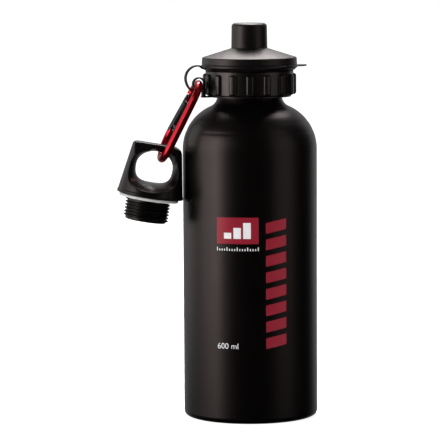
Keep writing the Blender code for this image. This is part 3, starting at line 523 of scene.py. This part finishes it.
# Tether. The same soft plastic: a thin ring under the cap, an upright eye, and a strap that loops
# from the eye to the dust cap's bead, and keeps the shape it is drawn in. Its ends are welded to both.
BEAD_END_REACH = 0.0273
BEAD_END_HEIGHT = 0.0013
BEAD_END_SHIFT = (0.0002, -0.0010)
EYE_END_REACH = 0.0310
EYE_END_HEIGHT = 0.003
EYE_END_SHIFT = (0.0004, -0.0012)

dressed("tether_ring", soft_plastic, "tether", edge=0.00015)
strap = dressed("tether_strap", soft_plastic, None, edge=0.0002)
strap_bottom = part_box("tether_strap")[0].z
flip = next(joint for joint in frame["joints"] if joint["name"] == "dust_cap_flip")
flip_place = Vector(flip["pos_m"])
outward = Vector((-math.cos(TETHER_AZIMUTH), -math.sin(TETHER_AZIMUTH), 0))
for corner in strap.data.vertices:
    reach = corner.co.dot(outward)
    up, out = 0, 0
    if reach < BEAD_END_REACH and flip_place.z < corner.co.z < flip_place.z + BEAD_END_HEIGHT:
        up, out = BEAD_END_SHIFT
    elif reach < EYE_END_REACH and corner.co.z < strap_bottom + EYE_END_HEIGHT:
        up, out = EYE_END_SHIFT
    corner.co += Vector((0, 0, up)) + out * outward
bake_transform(strap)


# Carabiner. A red anodised aluminium rod, bent cold, with a flat blade at each end for the gate,
# which is black anodised and closes on a steel pin with its own small spring and plunger.
red_anodised = Finish(
    "red_anodised_aluminium",
    {
        "Base Color": (0.45, 0.005, 0.018, 1),
        "Metallic": 0.95,
        "Roughness": 0.3,
        "IOR": 1.5,
        "Coat Weight": 0.16,
        "Coat Roughness": 0.15,
    },
)
dye_cloud = red_anodised.noise(0.003, 3)
red_anodised.feed("Base Color", red_anodised.mixed(dye_cloud, (0.40, 0.004, 0.017), (0.50, 0.007, 0.018)))
red_anodised.feed("Roughness", 0.26 + 0.10 * dye_cloud)
red_anodised.bump(red_anodised.noise(0.0003), 0.000006)
dressed("carabiner_frame", red_anodised, "carabiner", edge=0.00012)

black_anodised = Finish(
    "black_anodised_aluminium",
    {"Base Color": (0.035, 0.035, 0.038, 1), "Metallic": 0.7, "Roughness": 0.34, "IOR": 1.5},
)
gate_cloud = black_anodised.noise(0.0015, 3)
black_anodised.feed("Roughness", 0.28 + 0.12 * gate_cloud)
black_anodised.bump(gate_cloud, 0.000006)
dressed("gate_body", black_anodised, "gate", edge=0.00012)
for pin in ("gate_hinge_pin", "gate_latch_pin", "gate_plunger", "gate_spring"):
    dressed(pin, bare_steel, "gate")


# Spare stopper. One black moulding: a conical head with a flared finger hole, a flange and a
# hollow threaded plug, with a grey washer under the flange. It hangs on the carabiner.
STOPPER_TILT = math.radians(9.2)
STOPPER_OFFSET = Vector((-0.0035, 0.0019, -0.0208))
FLANGE_RADIUS = 0.0177
FLANGE_LIP = 0.0015
HEAD_HEIGHT = 0.0282
HEAD_TOP_RADIUS = 0.0129
BAR_HALF_DEPTH = 0.0052
BAR_SLOPE = math.radians(28.4)
SLAB_SIZE = (0.06, 0.04, 0.08)
HOLE_HALF_WIDTH = 0.0099
HOLE_HALF_HEIGHT = 0.0085
HOLE_CENTRE = 0.0157
HOLE_ASIDE = 0.0004
HOLE_REACH = 0.022
HOLE_FOOT_POWER = 2 / 3.0
FLARE_ASIDE = 0.30
FLARE_UP = 0.58
FLARE_DOWN = 0.20
LIP_MIDDLE = math.radians(130)
LIP_FROM = 0.85
LIP_SPREAD = 0.35
LIP_WIDTH = 0.0028
LIP_WIDTH_AT = 0.0075
LIP_WIDTH_LIMIT = 2.0
LIP_WIDTH_POWER = 1.8
LIP_HEIGHT = 0.0042
LIP_HEIGHT_AT = 0.0172
LIP_HEIGHT_LIMIT = 1.2
LIP_HEIGHT_POWER = 2
END_ROUND = 0.0052
END_ROUND_OUT = 0.0008
SKIN_VOXEL = 0.00032
INNER_WALL = 0.0108
INNER_BLEND = 0.0018
INNER_FULLNESS = 0.0008
STOPPER_PLUG_LENGTH = 0.0139
STOPPER_PLUG_WALL = 0.0021

satin_plastic = Finish(
    "satin_black_plastic",
    {
        "Base Color": (0.0030, 0.0027, 0.0026, 1),
        "Roughness": 0.30,
        "IOR": 1.38,
        "Specular Tint": (1.0, 0.84, 0.80, 1),
    },
)
satin_cloud = satin_plastic.noise(0.005, 2)
satin_plastic.feed("Roughness", 0.26 + 0.08 * satin_cloud)
satin_plastic.bump(satin_plastic.noise(0.0004) * 0.4 + satin_cloud * 0.6, 0.00002)

swing = next(joint for joint in frame["joints"] if joint["name"] == "stopper_swing")
hang = Matrix.Rotation(STOPPER_TILT, 4, "Y")
hang.translation = Vector(swing["pos_m"]) + hang @ STOPPER_OFFSET


def hole_cutter():
    """The finger hole: round above and flatter at its foot. It flares straight to both faces,
    but below and outside it opens in a rolled lip."""
    shape = bmesh.new()
    bmesh.ops.create_cone(shape, cap_ends=True, segments=96, radius1=1, radius2=1, depth=2)
    uprights = [line for line in shape.edges if line.verts[0].co.z != line.verts[1].co.z]
    bmesh.ops.subdivide_edges(shape, edges=uprights, cuts=31)
    for corner in shape.verts:
        out = HOLE_REACH * abs(corner.co.z)
        angle = math.atan2(corner.co.y, corner.co.x)
        flare_height, power = (FLARE_UP, 1.0) if angle > 0 else (FLARE_DOWN, HOLE_FOOT_POWER)
        lip = min(1.0, max(0.0, (math.cos(angle + LIP_MIDDLE) + LIP_FROM) / LIP_SPREAD))
        lip_width = LIP_WIDTH * min(LIP_WIDTH_LIMIT, out / LIP_WIDTH_AT) ** LIP_WIDTH_POWER
        lip_height = LIP_HEIGHT * min(LIP_HEIGHT_LIMIT, out / LIP_HEIGHT_AT) ** LIP_HEIGHT_POWER
        half_width = HOLE_HALF_WIDTH + lip * lip_width + (1 - lip) * FLARE_ASIDE * out
        half_height = HOLE_HALF_HEIGHT + lip * lip_height + (1 - lip) * flare_height * out
        across = half_width * math.copysign(abs(math.cos(angle)) ** power, math.cos(angle))
        upward = half_height * math.copysign(abs(math.sin(angle)) ** power, math.sin(angle))
        corner.co = (HOLE_ASIDE + across, -HOLE_REACH * corner.co.z, HOLE_CENTRE + upward)
    return shape


def loose(name, shape):
    """A helper object that only cuts another, and is removed after it."""
    mesh = bpy.data.meshes.new(name)
    shape.to_mesh(mesh)
    shape.free()
    made = bpy.data.objects.new(name, mesh)
    bpy.context.scene.collection.objects.link(made)
    return made


head = loose(
    "head_blank",
    turned(
        [
            (0, HEAD_HEIGHT),
            (HEAD_TOP_RADIUS, HEAD_HEIGHT, 0.0016),
            (FLANGE_RADIUS - 0.0003, FLANGE_LIP, 0.0004),
            (FLANGE_RADIUS, FLANGE_LIP - 0.0002),
            (FLANGE_RADIUS, 0),
            (0, 0),
        ],
        steps=96,
        closed=False,
    ),
)
cutters = [loose("hole", hole_cutter())]
# What rounds the head's upper corner on the side towards the bottle.
end = bmesh.new()
end_middle = Vector((HEAD_TOP_RADIUS + END_ROUND_OUT - END_ROUND, 0, HEAD_HEIGHT - END_ROUND))
turns = [Matrix.Rotation(math.radians(9 * step), 3, "Y") for step in range(11)]
rim = [end_middle + turn @ Vector((0, 0, END_ROUND)) for turn in turns]
rim += [Vector((2 * FLANGE_RADIUS, 0, rim[-1].z)), Vector((2 * FLANGE_RADIUS, 0, 2 * HEAD_HEIGHT))]
rim.append(Vector((rim[0].x, 0, 2 * HEAD_HEIGHT)))
front = end.faces.new([end.verts.new(spot - Vector((0, FLANGE_RADIUS, 0))) for spot in rim])
drawn_back = bmesh.ops.extrude_face_region(end, geom=[front])["geom"]
back = [part for part in drawn_back if isinstance(part, bmesh.types.BMVert)]
bmesh.ops.translate(end, verts=back, vec=(0, 2 * FLANGE_RADIUS, 0))
bmesh.ops.recalc_face_normals(end, faces=end.faces)
cutters.append(loose("end_round", end))
# The two slopes, front and back, that leave the bar over the hole.
for side in (-1, 1):
    slab = bar(SLAB_SIZE, 0.0005, 1)
    lean = Matrix.Rotation(side * BAR_SLOPE, 4, "X")
    edge_line = Matrix.Translation((0, side * BAR_HALF_DEPTH, HEAD_HEIGHT))
    slab.transform(edge_line @ lean @ Matrix.Translation((0, side * SLAB_SIZE[1] / 2, 0)))
    cutters.append(loose("slope", slab))
for cutter in cutters:
    cut = head.modifiers.new("Cut", "BOOLEAN")
    cut.operation = "DIFFERENCE"
    cut.solver = "EXACT"
    cut.object = cutter
# One even skin over the cuts, smoothed as the mould rounds its edges.
remesh = head.modifiers.new("Even skin", "REMESH")
remesh.mode = "VOXEL"
remesh.voxel_size = SKIN_VOXEL
soften = head.modifiers.new("Moulded edges", "SMOOTH")
soften.factor = 0.5
soften.iterations = 7
graph = bpy.context.evaluated_depsgraph_get()
head_mesh = bpy.data.meshes.new_from_object(head.evaluated_get(graph))
head_form = bmesh.new()
head_form.from_mesh(head_mesh)
# The side towards the bottle is a little fuller than the cone.
for corner in head_form.verts:
    corner.co.x += INNER_FULLNESS * min(1.0, max(0.0, (corner.co.x - INNER_WALL) / INNER_BLEND))
for helper in [head, *cutters]:
    bpy.data.objects.remove(helper, do_unlink=True)
plug_bore = PLUG_RADIUS - STOPPER_PLUG_WALL
plug = turned(
    [
        (PLUG_RADIUS - THREAD_DEPTH, 0.001),
        (PLUG_RADIUS - THREAD_DEPTH, -STOPPER_PLUG_LENGTH, 0.0005),
        (plug_bore, -STOPPER_PLUG_LENGTH, 0.0003),
        (plug_bore, 0.0005),
    ]
)
winding = thread(PLUG_RADIUS - THREAD_DEPTH, -0.0030, 0.0012 - STOPPER_PLUG_LENGTH)
head_form.transform(hang)
piece("stopper_head", head_form, satin_plastic, "stopper", ["stopper_body"], sharp=50)
stem = joined(plug, winding)
stem.transform(hang)
piece("stopper_stem", stem, satin_plastic, "stopper", ["stopper_body"])
dressed("stopper_seal", grey_rubber, "stopper", edge=0.0002)


# Print. Screen-printed marks of red and white ink on the coat: plain slanted bars up the right of the
# front, a small red panel with three white bars, a row of ticks, and the capacity.
INK_THICKNESS = 0.00003
RED_BARS_FROM = 0.0081
RED_BARS_TO = 0.0199
RED_BARS_LOW = 0.041
RED_BARS_HIGH = 0.112
RED_BAR_COUNT = 8
RED_BAR_LOW = 0.0010
RED_BAR_HIGH = 0.0068
RED_BAR_SHEAR = 0.0022
PANEL_LEFT = -0.0189
PANEL_WIDTH = 0.0231
PANEL_LOW = 0.0976
PANEL_HEIGHT = 0.0142
PANEL_BARS_LEFT = PANEL_LEFT + 0.0042
PANEL_BAR_PITCH = 0.0053
PANEL_BAR_WIDTH = 0.0041
PANEL_BAR_LOW = PANEL_LOW + 0.0028
PANEL_BAR_TOP = PANEL_LOW + 0.0060
PANEL_BAR_RISE = 0.0027
TICK_COUNT = 17
TICK_WIDTH = 0.0005
TICK_LOW = PANEL_LOW - 0.0037
LONG_TICK = 0.0019
SHORT_TICK = 0.0011
LETTER_HEIGHT = 0.0044
LETTERS_LOW = 0.0410

red_ink = Finish("red_ink", {"Base Color": (0.29, 0.004, 0.020, 1), "Roughness": 0.34, "IOR": 1.45})
red_ink.feed("Roughness", 0.31 + 0.06 * red_ink.noise(0.001, 3))
white_ink = Finish("white_ink", {"Base Color": (0.84, 0.84, 0.85, 1), "Roughness": 0.36, "IOR": 1.45})
white_ink.feed("Roughness", 0.33 + 0.06 * white_ink.noise(0.001, 3))


def printed(name, shapes, finish, layer=1):
    """Flat marks drawn in X and Z, wrapped round the bottle's front as a film of ink."""
    shape = joined(*shapes)
    for corner in shape.verts:
        angle = corner.co.x / BODY_RADIUS
        reach = BODY_RADIUS + INK_THICKNESS * (layer if corner.co.y < 0 else -1)
        corner.co = (reach * math.sin(angle), -reach * math.cos(angle), corner.co.z)
    return piece(name, shape, finish, "bottle")


def flat_mark(left, right, low, high, shear=0.0):
    """A flat bar, cut across its width so that it can bend. Shear lifts its right side."""
    shape = bmesh.new()
    bmesh.ops.create_cube(shape, size=1)
    bmesh.ops.scale(shape, verts=shape.verts, vec=(right - left, INK_THICKNESS, high - low))
    crosswise = [line for line in shape.edges if line.verts[0].co.x != line.verts[1].co.x]
    bmesh.ops.subdivide_edges(shape, edges=crosswise, cuts=7)
    for corner in shape.verts:
        corner.co.z += shear * corner.co.x / (right - left)
    bmesh.ops.translate(shape, verts=shape.verts, vec=((left + right) / 2, 0, (low + high) / 2))
    return shape


bar_pitch = (RED_BARS_HIGH - RED_BARS_LOW) / RED_BAR_COUNT
red_bars = []
for index in range(RED_BAR_COUNT):
    foot = RED_BARS_LOW + index * bar_pitch
    low, high = foot + RED_BAR_LOW, foot + RED_BAR_HIGH
    red_bars.append(flat_mark(RED_BARS_FROM, RED_BARS_TO, low, high, RED_BAR_SHEAR))
printed("red_bars", red_bars, red_ink)
panel = flat_mark(PANEL_LEFT, PANEL_LEFT + PANEL_WIDTH, PANEL_LOW, PANEL_LOW + PANEL_HEIGHT)
printed("red_panel", [panel], red_ink)
panel_bars = []
for index in range(3):
    left = PANEL_BARS_LEFT + index * PANEL_BAR_PITCH
    top = PANEL_BAR_TOP + index * PANEL_BAR_RISE
    panel_bars.append(flat_mark(left, left + PANEL_BAR_WIDTH, PANEL_BAR_LOW, top))
printed("panel_bars", panel_bars, white_ink, layer=2)
ticks = []
for index in range(TICK_COUNT):
    left = PANEL_LEFT + index * (PANEL_WIDTH - TICK_WIDTH) / (TICK_COUNT - 1)
    tall = LONG_TICK if index % 4 == 0 else SHORT_TICK
    ticks.append(flat_mark(left, left + TICK_WIDTH, TICK_LOW, TICK_LOW + tall))
printed("tick_row", ticks, white_ink)

letters = bpy.data.curves.new("capacity", "FONT")
letters.body = "600 ml"
letters.size = LETTER_HEIGHT
letters.extrude = 0.00001
letters.resolution_u = 6
drawn = bpy.data.objects.new("capacity_text", letters)
bpy.context.scene.collection.objects.link(drawn)
bpy.context.view_layer.update()
drawn_now = drawn.evaluated_get(bpy.context.evaluated_depsgraph_get())
capacity = bmesh.new()
capacity.from_mesh(bpy.data.meshes.new_from_object(drawn_now))
bpy.data.objects.remove(drawn, do_unlink=True)
bmesh.ops.remove_doubles(capacity, verts=capacity.verts, dist=0.000001)
upright = Matrix.Rotation(math.pi / 2, 4, "X")
capacity.transform(Matrix.Translation((PANEL_LEFT, 0, LETTERS_LOW)) @ upright)
printed("capacity_mark", [capacity], white_ink)


# Studio. White surroundings and a white floor that keeps the soft shadow. A strong upright strip on the
# left with weaker ones beside it and behind, faint panels on the right, and a bank above and behind
# that lights the top of the cap.
AIM_HEIGHT = 0.1
LAMP_DISTANCE = 0.95
AMBIENT = 0.42
FLOOR_GLOW = 0.80


def softbox(name, around, above, wide, tall, radiance):
    """A flat soft light, placed by its angles in degrees from the camera's side and from level,
    and sized by the angles that it fills."""
    lamp = bpy.data.lights.new(name, "AREA")
    lamp.shape = "RECTANGLE"
    lamp.size = 2 * LAMP_DISTANCE * math.tan(math.radians(wide / 2))
    lamp.size_y = 2 * LAMP_DISTANCE * math.tan(math.radians(tall / 2))
    lamp.energy = radiance * math.pi * lamp.size * lamp.size_y
    made = bpy.data.objects.new(name, lamp)
    turn = math.radians(around)
    rise = math.radians(above)
    away = Vector((math.sin(turn) * math.cos(rise), -math.cos(turn) * math.cos(rise), math.sin(rise)))
    made.location = Vector((0, 0, AIM_HEIGHT)) + LAMP_DISTANCE * away
    made.rotation_euler = away.to_track_quat("Z", "Y").to_euler()
    made.visible_camera = False
    bpy.context.scene.collection.objects.link(made)


softbox("left_edge", -48, 10, 12, 44, 1.0)
softbox("left_softbox", -60, 10, 12, 44, 4.1)
softbox("left_spill", -78, 10, 24, 44, 1.9)
softbox("left_back_panel", -114, 10, 48, 44, 0.72)
softbox("right_softbox", 60, 10, 36, 44, 0.46)
softbox("right_back_panel", 141, 10, 24, 44, 0.26)
softbox("right_high_panel", 60, 40, 24, 18, 0.35)
softbox("top_softbox", 180, 58, 24, 18, 24.0)
softbox("top_right_softbox", 150, 58, 24, 18, 8.5)
softbox("top_left_softbox", -150, 58, 24, 18, 3.4)
softbox("overhead_softbox", 180, 75, 18, 16, 8.0)

world = bpy.data.worlds.new("white_surroundings")
world.use_nodes = True
bpy.context.scene.world = world
sky = Nodes(world.node_tree, "Background")
sky.last.inputs["Color"].default_value = (1, 1, 1, 1)
toward = sky.node("ShaderNodeTexCoord", {}, {}, "Generated")
backward = sky.node("ShaderNodeSeparateXYZ", {}, {0: toward}, "Y")
# The camera sees white. Glossy surfaces mirror the surroundings only where they are behind the bottle.
strength = AMBIENT
for ray, seen in (("Is Glossy Ray", backward.step(0.60, 0.95, AMBIENT)), ("Is Camera Ray", 1.0)):
    by_ray = {0: sky.node("ShaderNodeLightPath", {}, {}, ray), 2: strength, 3: seen}
    strength = sky.node("ShaderNodeMix", {"data_type": "FLOAT"}, by_ray)
sky.feed("Strength", strength)

floor_shape = bmesh.new()
bmesh.ops.create_grid(floor_shape, x_segments=1, y_segments=1, size=6)
floor_mesh = bpy.data.meshes.new("floor")
floor_shape.to_mesh(floor_mesh)
floor_shape.free()
floor = bpy.data.objects.new("floor", floor_mesh)
bpy.context.scene.collection.objects.link(floor)
floor_paint = bpy.data.materials.new("white_floor")
floor_paint.use_nodes = True
floor_mesh.materials.append(floor_paint)
paint = Nodes(floor_paint.node_tree, "Material Output")
paint.tree.nodes.remove(paint.tree.nodes["Principled BSDF"])
matt = paint.node("ShaderNodeBsdfDiffuse", {}, {"Color": (0.8, 0.8, 0.8, 1)})
glow_strength = FLOOR_GLOW * paint.node("ShaderNodeLightPath", {}, {}, "Is Camera Ray")
glow = paint.node("ShaderNodeEmission", {}, {"Strength": glow_strength})
lit = paint.node("ShaderNodeAddShader", {}, {0: matt, 1: glow})
clear = paint.node("ShaderNodeBsdfTransparent", {}, {})
# Glossy surfaces don't mirror the floor.
mirrored = paint.node("ShaderNodeLightPath", {}, {}, "Is Glossy Ray")
paint.feed("Surface", paint.node("ShaderNodeMixShader", {}, {0: mirrored, 1: lit, 2: clear}))


# Camera. A long lens at the photo's view: 1.6 m in front and a little above the bottle's top.
CAMERA_PLACE = Vector((-0.0164, -1.600, 0.2695))
CAMERA_PITCH = math.radians(5.80)
CAMERA_ROLL = math.radians(0.306)
PIXELS_PER_METRE = 1832
FRAME_PIXELS = 440
SENSOR = 36.0

camera_data = bpy.data.cameras.new("camera")
camera_data.sensor_width = SENSOR
aim_drop = CAMERA_PLACE.z - AIM_HEIGHT
depth = -CAMERA_PLACE.y * math.cos(CAMERA_PITCH) + aim_drop * math.sin(CAMERA_PITCH)
camera_data.lens = SENSOR * PIXELS_PER_METRE * depth / FRAME_PIXELS
camera_data.clip_start = 0.01
camera_data.clip_end = 100
camera = bpy.data.objects.new("camera", camera_data)
camera.location = CAMERA_PLACE
camera.rotation_euler = (
    Matrix.Rotation(math.pi / 2 - CAMERA_PITCH, 3, "X") @ Matrix.Rotation(-CAMERA_ROLL, 3, "Z")
).to_euler()
bpy.context.scene.collection.objects.link(camera)
bpy.context.scene.camera = camera
bpy.context.scene.view_settings.view_transform = "Standard"
